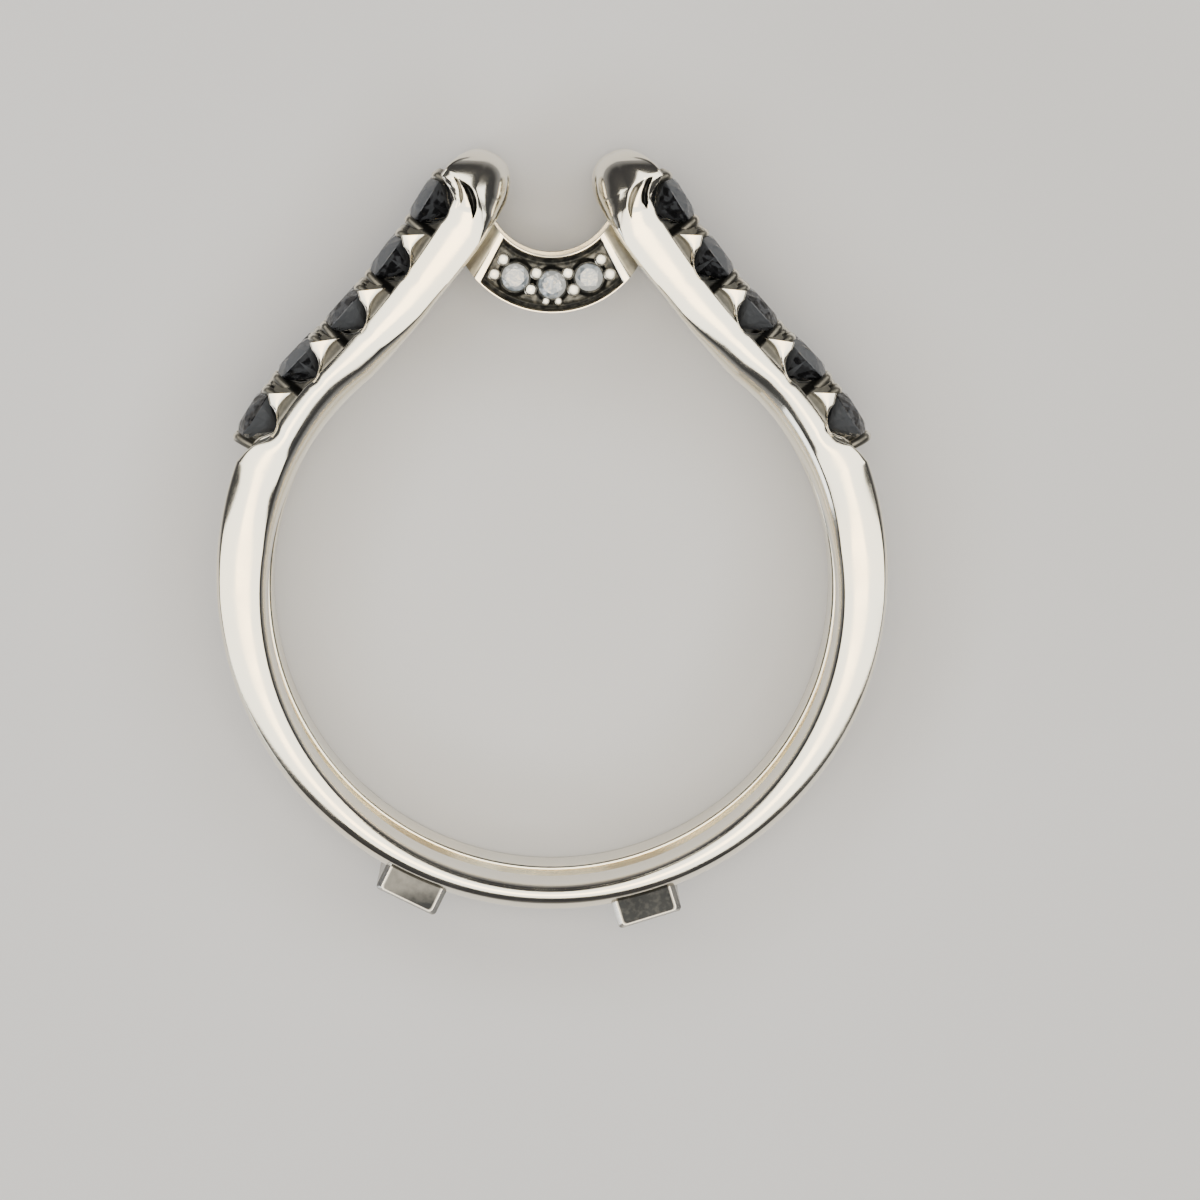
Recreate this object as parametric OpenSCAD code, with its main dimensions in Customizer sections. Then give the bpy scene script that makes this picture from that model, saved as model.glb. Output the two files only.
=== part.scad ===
// Ring guard enhancer: two matching jewelled bands, joined only under the finger, that take a
// solitaire ring between them. Its open top leaves room for the solitaire's head.
// Millimetres. The finger hole runs along Z, the open top faces +Y, and the origin is the centre
// of the finger hole, halfway between the two bands.

/* [Finger hole] */
// Inside diameter, US ring size 7
finger_d = 17.35; // [15.7:0.05:19]
// Edge break of the finger hole on the outer face of each band
hole_edge = 0.12; // [0.06:0.01:0.2]

/* [Bands] */
// Width of one band along the finger
band_w = 2.3; // [2.2:0.05:2.8]
// Space between the bands, where the solitaire's shank lies
slot_w = 2.2; // [1.6:0.1:3]
// Thickness of the shank under the finger
shank_bottom_t = 0.77; // [0.6:0.01:1]
// Thickness of the shank at the sides
shank_side_t = 1.46; // [1.3:0.01:1.6]
// Rounding of the shank's outer edges
shank_edge = 0.35; // [0.15:0.05:0.5]

/* [Shoulders] */
// Height of the stone row's line above the finger hole
row_h = 1.7; // [1.6:0.02:1.9]
// Angle above the horizontal where the shoulder leaves the finger hole
flare_start = 45.7; // [42:0.1:48]
// Radius of the shoulder's outward bend
flare_r = 24; // [18:0.5:36]
// Length of the bend from its start to the first stone
flare_len = 5.85; // [5.4:0.05:6.2]
// Height of the prong sides above the stone row's line
prong_top = 0.25; // [0.15:0.01:0.35]
// Length of the shoulder past the first stone
tip_len = 1.1; // [0.95:0.05:1.4]
// How far the round tip stands past the notch's corner
nose_x = 0.38; // [0.3:0.02:0.6]
// Length of the slit beside the tip's first stone
slit_len = 0.8; // [0.4:0.05:1]
// Width and depth of that slit
slit_w = 0.14; // [0.08:0.01:0.2]

/* [Shoulder stones] */
// Stones on each shoulder
row_n = 5; // [3:1:6]
// Diameter of a shoulder stone
stone_d = 1.9; // [1.7:0.05:2]
// Space between two stones in a row
stone_space = 0.185; // [0.12:0.005:0.3]
// Radius of the scalloped window under each stone
window_r = 0.7; // [0.6:0.01:0.75]
// Height of the stone's girdle above the row's line
girdle_h = 0.2; // [0.1:0.01:0.3]
// Radius of a prong tip
claw_r = 0.17; // [0.12:0.01:0.2]

/* [Notch and gallery] */
// Radius of the round notch between the tips
notch_r = 2.05; // [1.8:0.05:2.3]
// Height of the notch's centre above the finger hole
notch_h = 3.77; // [3.5:0.01:4]
// Radius of the gallery bar's lower edge
gallery_r = 3.1; // [2.9:0.05:3.3]
// Thickness of the gallery bar along the finger
gallery_w = 1.3; // [1.1:0.05:1.6]
// How far the bar lies behind the band's face
gallery_inset = 0.25; // [0.1:0.05:0.4]
// Width of the rim round the bar's face
rim_w = 0.13; // [0.08:0.01:0.2]
// Height of that rim
rim_h = 0.15; // [0.08:0.01:0.25]
// Diameter of a gallery stone
small_d = 1; // [0.8:0.02:1.05]
// Angle between two gallery stones about the notch's centre
small_step = 22.6; // [21:0.2:24]
// Radius of a grain between the gallery stones
grain_r = 0.16; // [0.1:0.01:0.18]

/* [Bridges] */
// Directions of the two bridges under the finger, from straight down
bridge_angles = [-26, 17];
// Length of a bridge along the shank
bridge_len = 2; // [1.2:0.1:2.6]
// How far a bridge stands out of the shank
bridge_out = 0.75; // [0.5:0.05:1]
// How far a bridge's ends lie inside the bands' outer faces
bridge_inset = 0.3; // [0.1:0.05:0.6]

/* [Stone cut] */
// Table width as a share of the diameter
table_share = 0.56; // [0.5:0.01:0.62]
// Crown height as a share of the diameter
crown_share = 0.15; // [0.12:0.01:0.17]
// Girdle thickness as a share of the diameter
girdle_share = 0.03; // [0.02:0.005:0.05]
// Pavilion depth as a share of the diameter
pavilion_share = 0.43; // [0.41:0.005:0.44]
// Gap between a stone and its seat
stone_gap = 0.03; // [0.02:0.005:0.05]

/* [Hidden] */
$fn = 48;
side_names = ["right", "left"];
band_names = ["near", "far"];
small_names = ["right", "middle", "left"];
finger_r = finger_d / 2;
total_w = 2 * band_w + slot_w;
band_mid = (slot_w + band_w) / 2;
lap = 0.3;
past = 1;

// The shank's outside is a circle set off toward the open top, so the shank thins to the bottom.
side_r = finger_r + shank_side_t;
bottom_r = finger_r + shank_bottom_t;
shank_off = (side_r * side_r / bottom_r - bottom_r) / 2;
shank_r = bottom_r + shank_off;

// The stone row runs round the shank and then along the outward bend about flare_c.
row_r = finger_r + row_h;
pitch = stone_d + stone_space;
flare_c = (row_r + flare_r) * [cos(flare_start), sin(flare_start)];
inner_lap = 0.045;
shoulder_in = flare_r + row_h + inner_lap;
shoulder_out = flare_r - prong_top;

notch_y = finger_r + notch_h;
notch_clear = 0.025;
gallery_y = finger_r + notch_clear + gallery_r;
gallery_face = total_w / 2 - gallery_inset - rim_h;
small_row_r = (notch_r + notch_y - finger_r - notch_clear) / 2;

// Angle of the row's outward normal at distance s down the row from the first stone
function row_angle(s) =
    flare_start - (flare_len - s) / (s < flare_len ? flare_r : -row_r) * 180 / PI;

// Point of the row's line at distance s down the row from the first stone
function row_point(s) =
    let (a = row_angle(s), out = [cos(a), sin(a)])
    s < flare_len ? flare_c - flare_r * out : row_r * out;

// Radius of the shank's outside, from the finger hole's centre, in direction a
function shank_out(a) = sqrt(pow(shank_r, 2) - pow(shank_off * cos(a), 2)) + shank_off * sin(a);

// Points of a quarter circle of radius r about c, from angle a
function quarter(c, r, a) = [for (k = [0:6]) c + r * [cos(a + 15 * k), sin(a + 15 * k)]];

// Points of a level ring of n points
function level(n, r, z) = [for (k = [0:n - 1]) [r * cos(360 * k / n), r * sin(360 * k / n), z]];

// Round cut stone about its girdle's centre, table up
module cut_stone(d) {
    edge = girdle_share * d / 2;
    n = 8;
    m = 2 * n;
    table = level(n, table_share * d / 2, edge + crown_share * d);
    upper = level(m, d / 2, edge);
    lower = level(m, d / 2, -edge);
    culet = [[0, 0, -edge - pavilion_share * d]];
    u = n;
    w = n + m;
    polyhedron(
        concat(table, upper, lower, culet),
        concat(
            [[for (k = [n - 1:-1:0]) k]],
            [for (k = [0:n - 1]) [k, (k + 1) % n, u + 2 * k + 1]],
            [for (k = [0:n - 1]) [k, u + 2 * k + 1, u + 2 * k]],
            [for (k = [0:n - 1]) [k, u + 2 * k, u + (2 * k + m - 1) % m]],
            [for (j = [0:m - 1]) [u + j, u + (j + 1) % m, w + (j + 1) % m, w + j]],
            [for (j = [0:m - 1]) [w + j, w + (j + 1) % m, w + m]]
        )
    );
}

// Room that a cut stone takes out of its setting, open above its table
module seat(d) {
    edge = girdle_share * d / 2 + stone_gap;
    rim = d / 2 + stone_gap;
    top = edge + crown_share * d;
    rotate_extrude()
        polygon([
            [0, -edge - pavilion_share * d - stone_gap],
            [rim, -edge],
            [rim, edge],
            [table_share * d / 2 + stone_gap, top],
            [table_share * d / 2 + stone_gap, top + past],
            [0, top + past]
        ]);
}

// Turns a thing that stands on +Z to stand on the row at stone i, in the middle of the near band
module on_row(i) {
    s = (i - 1) * pitch;
    p = row_point(s);
    translate([p[0], p[1], band_mid])
        rotate([0, 0, row_angle(s)])
            rotate([0, 90, 0])
                translate([0, 0, girdle_h])
                    children();
}

// Turns a thing that stands on +Z to stand on the near gallery bar at step k from its middle
module on_gallery(k, r) {
    translate([0, notch_y, 0])
        rotate([0, 0, -90 + k * small_step])
            translate([r, 0, gallery_face])
                children();
}

// Placement in one band, which the far band mirrors
module in_band(band) {
    mirror([0, 0, band == "far" ? 1 : 0]) children();
}

// Placement on one side of the open top, which the left side mirrors
module on_side(side) {
    mirror([side == "left" ? 1 : 0, 0, 0]) children();
}

// Both sides of the open top
module both_sides() {
    for (side = side_names) on_side(side) children();
}

// Disc about the shoulder's bending centre, of the whole ring's width
module bend_disc(r) {
    translate([flare_c[0], flare_c[1], 0]) cylinder(h = total_w + 2 * past, r = r, center = true, $fn = 180);
}

// The near band's shank with its rounded outer edges, still without the finger hole
module shank() {
    e = shank_edge;
    translate([0, shank_off, slot_w / 2])
        rotate_extrude($fn = 180)
            polygon(concat(
                [[0, 0]],
                quarter([shank_r - e, e], e, -90),
                quarter([shank_r - e, band_w - e], e, 0),
                [[0, band_w]]
            ));
}

// Wedge over the open top, between the two directions at angle a above the horizontal
module top_wedge(a) {
    reach = 2 * finger_r;
    linear_extrude(height = total_w + 2 * past, center = true)
        polygon([[0, 0], reach * [cos(a), sin(a)], [0, 2 * reach], reach * [-cos(a), sin(a)]]);
}

// One shoulder of the near band as a plate, from inside the shank to its square end
module shoulder_plate() {
    foot = row_point(flare_len + lap);
    tip_s = -tip_len;
    tip = row_point(tip_s);
    out = [cos(row_angle(tip_s)), sin(row_angle(tip_s))];
    down = [cos(flare_start), sin(flare_start)];
    reach = row_h + past;
    intersection() {
        difference() {
            bend_disc(shoulder_in);
            bend_disc(shoulder_out);
        }
        translate([0, 0, slot_w / 2])
            linear_extrude(height = band_w)
                polygon([foot + reach * down, foot - reach * down, tip - reach * out, tip + reach * out]);
    }
}

// Round tip beside the notch
module nose() {
    translate([notch_r + nose_x, notch_y, band_mid]) sphere(d = band_w);
}

// Four prong tips that lean over one stone's edge
module claws() {
    reach = pitch / 2 - 1.5 * claw_r;
    side = band_w / 2 - 3 * claw_r;
    for (u = [-1, 1], v = [-1, 1])
        translate([v * side, u * reach, -lap])
            cylinder(h = lap + crown_share * stone_d, r = claw_r);
}

// Scalloped window under stone i, open to the outside
module window(i) {
    p = row_point((i - 1) * pitch);
    deep = band_w + 2 * past;
    translate([p[0], p[1], band_mid]) {
        cylinder(h = deep, r = window_r, center = true);
        translate([past, 0, 0]) cube([2 * past, 2 * window_r, deep], center = true);
    }
}

// Round notch between the tips, cut through the near band
module notch() {
    translate([0, notch_y, band_mid]) cylinder(h = band_w + 2 * past, r = notch_r, center = true, $fn = 96);
}

// Slit between the first stone's edge and the tip, on the near face
module tip_slit() {
    translate([notch_r + nose_x + 2 * slit_w, notch_y, total_w / 2])
        rotate([0, 0, -12])
            cube([slit_w, slit_len, 2 * slit_w], center = true);
}

// Crescent between the shoulders, cut back by g at its round edges and by end at its ends
module crescent(g, end, h) {
    linear_extrude(height = h)
        difference() {
            translate([0, gallery_y]) circle(gallery_r - g, $fn = 96);
            translate([0, notch_y]) circle(notch_r + g, $fn = 96);
            translate([-2 * gallery_r, notch_y]) square([4 * gallery_r, 2 * gallery_r]);
            for (x = [-1, 1])
                translate([x * flare_c[0], flare_c[1]]) circle(shoulder_in + end, $fn = 180);
        }
}

// Near gallery bar with its rim, grains and stone seats
module gallery_bar() {
    difference() {
        union() {
            difference() {
                translate([0, 0, gallery_face + rim_h - gallery_w]) crescent(0, -lap, gallery_w);
                translate([0, 0, gallery_face]) crescent(rim_w, 2 * rim_w, past);
            }
            for (k = [-1.5:1:1.5]) {
                on_gallery(k, small_row_r - small_d / 3) sphere(grain_r);
                on_gallery(k, small_row_r + small_d / 4) sphere(grain_r);
            }
        }
        for (k = [-1:1])
            on_gallery(k, small_row_r) seat(small_d);
    }
}

// Bar that joins the two bands under the finger, in direction a from straight down
module bridge(a) {
    from = shank_out(a - 90) - lap;
    rotate([0, 0, a - 90])
        translate([from, -bridge_len / 2, bridge_inset - total_w / 2])
            cube([lap + bridge_out, bridge_len, total_w - 2 * bridge_inset]);
}

// The near band's bare form, with its notch, tips and windows
module band_body() {
    difference() {
        union() {
            difference() {
                union() {
                    difference() {
                        shank();
                        top_wedge(flare_start + 1);
                    }
                    both_sides() shoulder_plate();
                }
                notch();
            }
            both_sides() nose();
        }
        both_sides()
            for (i = [1:row_n])
                window(i);
    }
}

// The near band with its prongs, stone seats and gallery bar, before the finger hole is cut
module near_band() {
    difference() {
        union() {
            band_body();
            both_sides()
                for (i = [1:row_n])
                    on_row(i) claws();
        }
        both_sides() {
            for (i = [1:row_n])
                on_row(i) seat(stone_d);
            tip_slit();
        }
    }
    gallery_bar();
}

// All the precious metal, soldered into one
module guard_mount() {
    color("gainsboro")
        difference() {
            union() {
                for (band = band_names)
                    in_band(band) near_band();
                for (a = bridge_angles)
                    bridge(a);
            }
            cylinder(h = total_w + 2 * past, r = finger_r, center = true, $fn = 180);
            for (band = band_names)
                in_band(band)
                    translate([0, 0, total_w / 2 - hole_edge])
                        cylinder(h = 2 * hole_edge, r1 = finger_r, r2 = finger_r + 2 * hole_edge, $fn = 180);
        }
}

// Stone i of one shoulder
module shoulder_stone(band, side, i) {
    color("lightslategray")
        in_band(band) on_side(side) on_row(i) cut_stone(stone_d);
}

// Stone k steps from the middle of one gallery bar
module gallery_stone(band, k) {
    color("aliceblue")
        in_band(band) on_gallery(k, small_row_r) cut_stone(small_d);
}

guard_mount();
for (b = band_names, s = side_names, i = [1:row_n])
    shoulder_stone(b, s, i);
for (b = band_names, k = [-1:1])
    gallery_stone(b, k);
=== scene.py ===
"""Ring guard enhancer: two jewelled white gold bands that take a solitaire ring between them.

Lengths in the shape functions are millimetres. put() and set_stone() turn them into metres.
"""

from math import cos, pi, radians, sin

import bmesh
import bpy
import numpy as np
from mathutils import Matrix, Vector


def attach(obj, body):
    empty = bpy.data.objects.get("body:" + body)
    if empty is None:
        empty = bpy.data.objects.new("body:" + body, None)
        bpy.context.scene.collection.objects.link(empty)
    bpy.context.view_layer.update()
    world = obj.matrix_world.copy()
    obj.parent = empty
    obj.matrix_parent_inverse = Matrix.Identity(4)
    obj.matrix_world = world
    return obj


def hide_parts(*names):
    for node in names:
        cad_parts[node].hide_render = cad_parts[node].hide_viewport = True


bl_info = {
    "name": "Ring Guard Enhancer",
    "version": (1, 0, 0),
    "blender": (4, 5, 0),
    "location": "3D View > Sidebar > Ring Guard",
    "description": "Builds the metal, the stones and the stage of a ring guard enhancer",
    "category": "Add Mesh",
}

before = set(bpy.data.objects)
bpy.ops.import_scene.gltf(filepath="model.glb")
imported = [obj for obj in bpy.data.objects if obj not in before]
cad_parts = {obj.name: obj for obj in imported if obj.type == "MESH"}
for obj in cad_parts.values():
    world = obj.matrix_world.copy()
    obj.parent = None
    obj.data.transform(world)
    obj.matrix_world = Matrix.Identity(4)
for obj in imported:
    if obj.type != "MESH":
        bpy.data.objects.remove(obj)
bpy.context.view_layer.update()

MM = 0.001
# Points nearer than MERGE become one, and edges shorter than EMPTY are dropped
MERGE = 0.0004 * MM
EMPTY = 0.0003 * MM
MOUNT = "guard_mount"
SIDES = {"right": 1, "left": -1}
BANDS = {"near": 1, "far": -1}
GALLERY_STEPS = {"right": 1, "middle": 0, "left": -1}
ROW_COUNT = 5
AXIS = np.array([0, 0, 1.0])

# Shape of the part, as the frame's source gives it, in millimetres
FINGER_R = 8.675
BAND_W, SLOT_W = 2.3, 2.2
TOTAL_W = 2 * BAND_W + SLOT_W
BAND_MID = (SLOT_W + BAND_W) / 2
FLOOR_Z = -TOTAL_W / 2
# The shank's outside: its distance under the finger and at the sides, and the circle through both
SHANK_BOTTOM_R, SHANK_SIDE_R = FINGER_R + 0.77, FINGER_R + 1.46
SHANK_OFF = (SHANK_SIDE_R**2 / SHANK_BOTTOM_R - SHANK_BOTTOM_R) / 2
SHANK_R = SHANK_BOTTOM_R + SHANK_OFF
# The stone row's line: its height over the hole, and the outward flare's start, radius, length and centre
ROW_H, INNER_LAP = 1.7, 0.045
ROW_R = FINGER_R + ROW_H
FLARE_START, FLARE_R, FLARE_LEN = radians(45.7), 24.0, 5.85
FLARE_C = (ROW_R + FLARE_R) * np.array([cos(FLARE_START), sin(FLARE_START)])
# Shoulder stones: diameter, spacing, gap to their seats, and heights of girdle and point over the row's line
STONE_D = 1.9
PITCH = STONE_D + 0.185
STONE_GAP, GIRDLE_H, CULET_H = 0.03, 0.2, -0.6
# The round notch between the tips, and the gallery bar's lower edge, face and back
NOTCH_R, NOTCH_Y = 2.05, FINGER_R + 3.77
NOTCH_C = np.array([0, NOTCH_Y])
HOLE_GAP, GALLERY_R = 0.025, 3.1
GALLERY_Y = FINGER_R + HOLE_GAP + GALLERY_R
GALLERY_FACE, GALLERY_BACK = TOTAL_W / 2 - 0.4, TOTAL_W / 2 - 0.25 - 1.3
# Gallery stones: diameter, angle between two, and distance from the notch's centre
SMALL_D, SMALL_STEP = 1.0, radians(22.6)
SMALL_ROW_R = (NOTCH_R + NOTCH_Y - FINGER_R - HOLE_GAP) / 2


# Sums


def smooth(x, low, high):
    """0 below low, 1 above high, and the cubic 3t^2 - 2t^3 between."""
    t = np.clip((x - low) / (high - low), 0, 1)
    return t * t * (3 - 2 * t)


def within(x, start, full, fades, gone):
    """0 before start and past gone, 1 from full to where it fades, and the cubic step on both sides."""
    return smooth(x, start, full) * (1 - smooth(x, fades, gone))


def grown(size, share):
    """A size, given as its first value and its gain, at a share of the gain."""
    return size[0] + size[1] * share


def direction(angle):
    """Unit vector at an angle: its cosine and its sine."""
    return np.stack([np.cos(angle), np.sin(angle)], axis=-1)


def row_angle(s):
    """Angle of the row's outward normal at distance s down the row from the first stone.

    It falls by s / flare radius away from the flare's start, on either side of it with that side's radius.
    """
    s = np.asarray(s, float)
    return FLARE_START - np.where(s < FLARE_LEN, (FLARE_LEN - s) / FLARE_R, (s - FLARE_LEN) / ROW_R)


def row_point(s):
    """Point of the row's line at distance s.

    It lies on the flare's circle up to the flare's start, and then on the ring's circle.
    """
    s = np.asarray(s, float)
    out = direction(row_angle(s))
    return np.where((s < FLARE_LEN)[..., None], FLARE_C - FLARE_R * out, ROW_R * out)


def row_down(s):
    """Unit vector down the row: the outward normal turned a quarter to the right."""
    out = direction(row_angle(s))
    return np.stack([out[..., 1], -out[..., 0]], axis=-1)


def shank_out(angle):
    """Distance from the finger hole's centre to the shank's outside, a circle that is set off upward.

    It is the root of the circle's radius squared less the square of the offset times the angle's cosine, plus
    the offset times its sine.
    """
    return np.sqrt(SHANK_R**2 - (SHANK_OFF * np.cos(angle)) ** 2) + SHANK_OFF * np.sin(angle)


def to_row(offset, height, s, across):
    """Places points on the right side of the near band: along the row, above its line and across the band.

    Point = row point at s + offset down the row + height along the outward normal, and across the band.
    """
    out = direction(row_angle(s))
    flat = row_point(s) + offset[..., None] * row_down(s) + height[..., None] * out
    return np.concatenate([flat, (BAND_MID + across)[..., None]], axis=-1)


def mirrored(points, side, band):
    """The same points on another side or band: x and z times their signs."""
    signs = np.ones(points.shape[-1])
    signs[0], signs[2] = SIDES[side], BANDS[band]
    return points * signs


# Meshes


def with_shade(points, shade):
    """Points with their shade as a fourth number."""
    return np.concatenate([points, shade[..., None]], axis=-1)


def grid_faces(rows, columns):
    """Quads of a grid of points that closes round its columns, as an array of corner numbers."""
    r = np.arange(rows - 1)[:, None]
    c = np.arange(columns)[None, :]
    d = (c + 1) % columns
    corners = [r * columns + c, r * columns + d, (r + 1) * columns + d, (r + 1) * columns + c]
    return np.stack(corners, axis=-1).reshape(-1, 4)


def put(name, grids, material, sharp=32):
    """Makes one metal piece of several grids of points in millimetres, each closed round its columns.

    A grid's fourth number, where it has one, is how much painted shade darkens a point, from 0 to 1.
    """
    points, faces, shade, start = [], [], [], 0
    for grid in grids:
        rows, columns, numbers = grid.shape
        points.append(grid[..., :3].reshape(-1, 3))
        shade.append(grid[..., 3].ravel() if numbers == 4 else np.zeros(rows * columns))
        faces.append(grid_faces(rows, columns) + start)
        start += rows * columns
    mesh = bpy.data.meshes.new(name)
    mesh.from_pydata((np.concatenate(points) * MM).tolist(), [], np.concatenate(faces).tolist())
    # The fourth numbers become an attribute of painted shade, which the finish turns into a darker colour
    painted_shade = mesh.attributes.new("painted_shade", "FLOAT", "POINT")
    painted_shade.data.foreach_set("value", np.concatenate(shade).astype(np.float32))
    close_up(mesh)
    finish_piece(mesh, material, [MOUNT], sharp)


def close_up(mesh):
    """Merges points that lie on each other, drops empty faces and turns all normals outward."""
    bm = bmesh.new()
    bm.from_mesh(mesh)
    bmesh.ops.remove_doubles(bm, verts=bm.verts, dist=MERGE)
    bmesh.ops.dissolve_degenerate(bm, edges=bm.edges, dist=EMPTY)
    bmesh.ops.recalc_face_normals(bm, faces=bm.faces)
    bm.to_mesh(mesh)
    bm.free()


def finish_piece(mesh, material, nodes, sharp, body="root"):
    """Puts a mesh into the scene with its finish, its shading, its body and the nodes it stands for.

    sharp is the angle in degrees from which on an edge is crisp, or 0 for flat facets.
    """
    obj = bpy.data.objects.new(mesh.name, mesh)
    bpy.context.scene.collection.objects.link(obj)
    mesh.materials.append(material)
    if sharp:
        mesh.polygons.foreach_set("use_smooth", np.ones(len(mesh.polygons), bool))
        mesh.set_sharp_from_angle(angle=radians(sharp))
    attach(obj, body)
    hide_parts(*nodes)


def rounded(half, deep, near_in, near_out, slot_r, dome, flats, turns=8, power=1.0):
    """Rounded section of a bar for each station, as offsets from its middle line and heights.

    half and deep are half its width and half its depth. near_in and near_out are (width, depth) of the face's
    two rounded corners. A corner goes by the cosine and sine of a quarter turn, each raised to power: 1 gives
    an ellipse, and 2 a straight chamfer. slot_r is the radius of the two round corners at the back. The face
    sinks by dome times the square of the share of the way from its middle to a corner. The section runs along
    the inner side, the face, the outer side and the back, with as many points on each as flats says.
    """
    sizes = (deep, *near_in, *near_out, slot_r, dome)
    deep, ri, ki, ro, ko, back, dome = (size * np.ones_like(half) for size in sizes)
    face = deep - dome
    turn = np.linspace(0, pi / 2, turns)

    def corner(cx, cz, rx, rz, start, bend=1.0):
        angle = start - turn
        x, z = np.cos(angle), np.sin(angle)
        bend = np.reshape(bend, (-1, 1))
        x, z = np.sign(x) * np.abs(x) ** bend, np.sign(z) * np.abs(z) ** bend
        return cx[:, None] + rx[:, None] * x, cz[:, None] + rz[:, None] * z

    def between(x0, z0, x1, z1, count):
        t = np.linspace(0, 1, count + 2)[1:-1]
        return x0[:, None] + (x1 - x0)[:, None] * t, z0[:, None] + (z1 - z0)[:, None] * t

    parts = [
        between(-half, -deep + back, -half, face - ki, flats[0]),
        corner(-half + ri, face - ki, ri, ki, pi, power),
        between(-half + ri, face, half - ro, face, flats[1]),
        corner(half - ro, face - ko, ro, ko, pi / 2, power),
        between(half, face - ko, half, -deep + back, flats[2]),
        corner(half - back, -deep + back, back, back, 0.0),
        between(half - back, -deep, -half + back, -deep, flats[3]),
        corner(-half + back, -deep + back, back, back, -pi / 2),
    ]
    x = np.concatenate([p[0] for p in parts], axis=1)
    z = np.concatenate([p[1] for p in parts], axis=1)
    first = flats[0] + turns
    share = np.linspace(-1, 1, flats[1] + 2)[1:-1]
    z[:, first : first + flats[1]] += dome[:, None] * (1 - share**2)
    return x, z


# The two bands

# Down the row from the first stone: height of the metal's outside over the row's line
SHOULDER_TOP = {
    "down": (-1.05, -0.89, -0.76, -0.70, -0.60, -0.45, 0.0, 8.34, 8.79, 8.97, 9.15, 9.45, 9.75),
    "height": (0.22, 0.24, 0.02, -0.12, -0.30, -0.46, -0.50, -0.50, -0.46, -0.33, -0.18, -0.05, 0.03),
}
# Down the row: width and depth of the rounding between the face and the finger hole
HOLE_ROUNDING = {
    "down": (-1.05, -0.81, -0.58, -0.2, 0.2, 1.6, 2.9, 3.5, 4.3, 6.0, 6.9, 8.7, 10.5, 12.3, 16.0, 28.0),
    "width": (1.0, 0.74, 0.50, 0.24, 0.10, 0.08, 0.14, 0.23, 0.38, 0.54, 0.54, 0.45, 0.34, 0.21, 0.17, 0.14),
    "depth": (0.9, 0.75, 0.55, 0.34, 0.24, 0.20, 0.20, 0.28, 0.46, 0.64, 0.64, 0.54, 0.40, 0.24, 0.16, 0.14),
}
# Down the row: width and depth of the rounding between the face and the shank's outside
OUTER_ROUNDING = {
    "down": (9.2, 10.4, 12.2, 14.1, 17.0, 19.6, 22.0, 25.0, 30.5),
    "width": (0.05, 0.14, 0.12, 0.09, 0.11, 0.15, 0.20, 0.21, 0.24),
    "depth": (0.05, 0.10, 0.12, 0.16, 0.20, 0.28, 0.36, 0.40, 0.36),
}
# A window's outline on the band: its radius, and its middle's way down the row and over its line
WINDOW_R, WINDOW_DOWN, WINDOW_RISE = 0.68, 0.12, 0.14
# The round cut under a stone: its radius, and its middle's way over the line
CUT_R, CUT_RISE = 0.67, 0.1
# Ways down the row where the tip's ball, the stone row, its end and the shank begin, and the ball's reach
TIP_END, ROW_FROM, ROW_TO, SHANK_FROM, TIP_REACH = -1.06, -0.1, 8.4, 9.9, 1.07
# Sections on the ball, and on each stretch from there to under the finger
BALL_SECTIONS, SECTIONS = 22, (64, 96, 28, 96)
# Angle of the ball at which it leaves the band, how much lower the inside lies toward the tip, and over which
# way up the row it gets lower
TIP_CREASE, TIP_LOWER, LOWER_WAY = radians(13), 0.16, (-2.4, 0.2)
# The ball: how far a wholly round section is shrunk, the power by which its height shrinks, and the shares of
# half its height, of half its depth and, toward the slot, of the smaller of the two that its roundings take
BALL_SHRUNK, BALL_POWER, BALL_WIDE, BALL_DEEP, BALL_SLOT = 0.8, 0.8, 0.98, 0.9, 0.45
# Ways down the row at which a stretch begins, is full, begins to fade and is gone
BESIDE_STONES = (-0.9, -0.5, 9.2, 10.4)
UNDER_STONES = (-0.5, -0.2, 8.6, 8.8)
# Rise of the domed face, how much of it is missing beside the stones and on the shank, and over which way
# down the row the shank's share grows
FACE_DOME, STONES_LESS, SHANK_LESS, LESS_WAY = 0.11, 0.04, 0.045, (10.4, 13.0)
# How much the power of the face's roundings grows past the tip, and over which way down the row
POWER_GAIN, POWER_WAY = 0.55, (-0.6, 0.3)
# How far the outside is sunk under the stones, how dark its painted shade is there, how far under the rim it
# begins, and between which ways across the sinking ends
ROW_SINK, ROW_SHADE, SINK_UNDER, SINK_ACROSS = 0.17, 0.95, (0.03, 0.005), (0.55, 0.85)
# The rounding toward the slot, and its greatest share of half the depth
SLOT_ROUNDING, SLOT_SHARE = 0.12, 0.4
# What counts as the face for the tip's relief: its skin's depth, the way it takes to begin at the tip, and
# where it ends beside the outside's rounding
FACE_SKIN, FACE_BEGINS, FACE_ENDS = 0.25, 0.12, (0.05, 0.005)


def inner_depth(s):
    """Depth of the metal's inside under the row's line.

    It is the finger hole's circle, or where that is deeper the flare's inner circle, which is set a little
    lower toward the tip by the cubic step of the way.
    """
    p, out = row_point(s), direction(row_angle(s))
    along = (p * out).sum(-1)
    room = along**2 - (p**2).sum(-1) + FINGER_R**2
    to_hole = np.where(room > 0, along - np.sqrt(np.maximum(room, 0)), np.inf)
    flare = ROW_H + INNER_LAP + TIP_LOWER * smooth(-s, *LOWER_WAY)
    return np.where(s < FLARE_LEN, np.minimum(to_hole, flare), to_hole)


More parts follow.
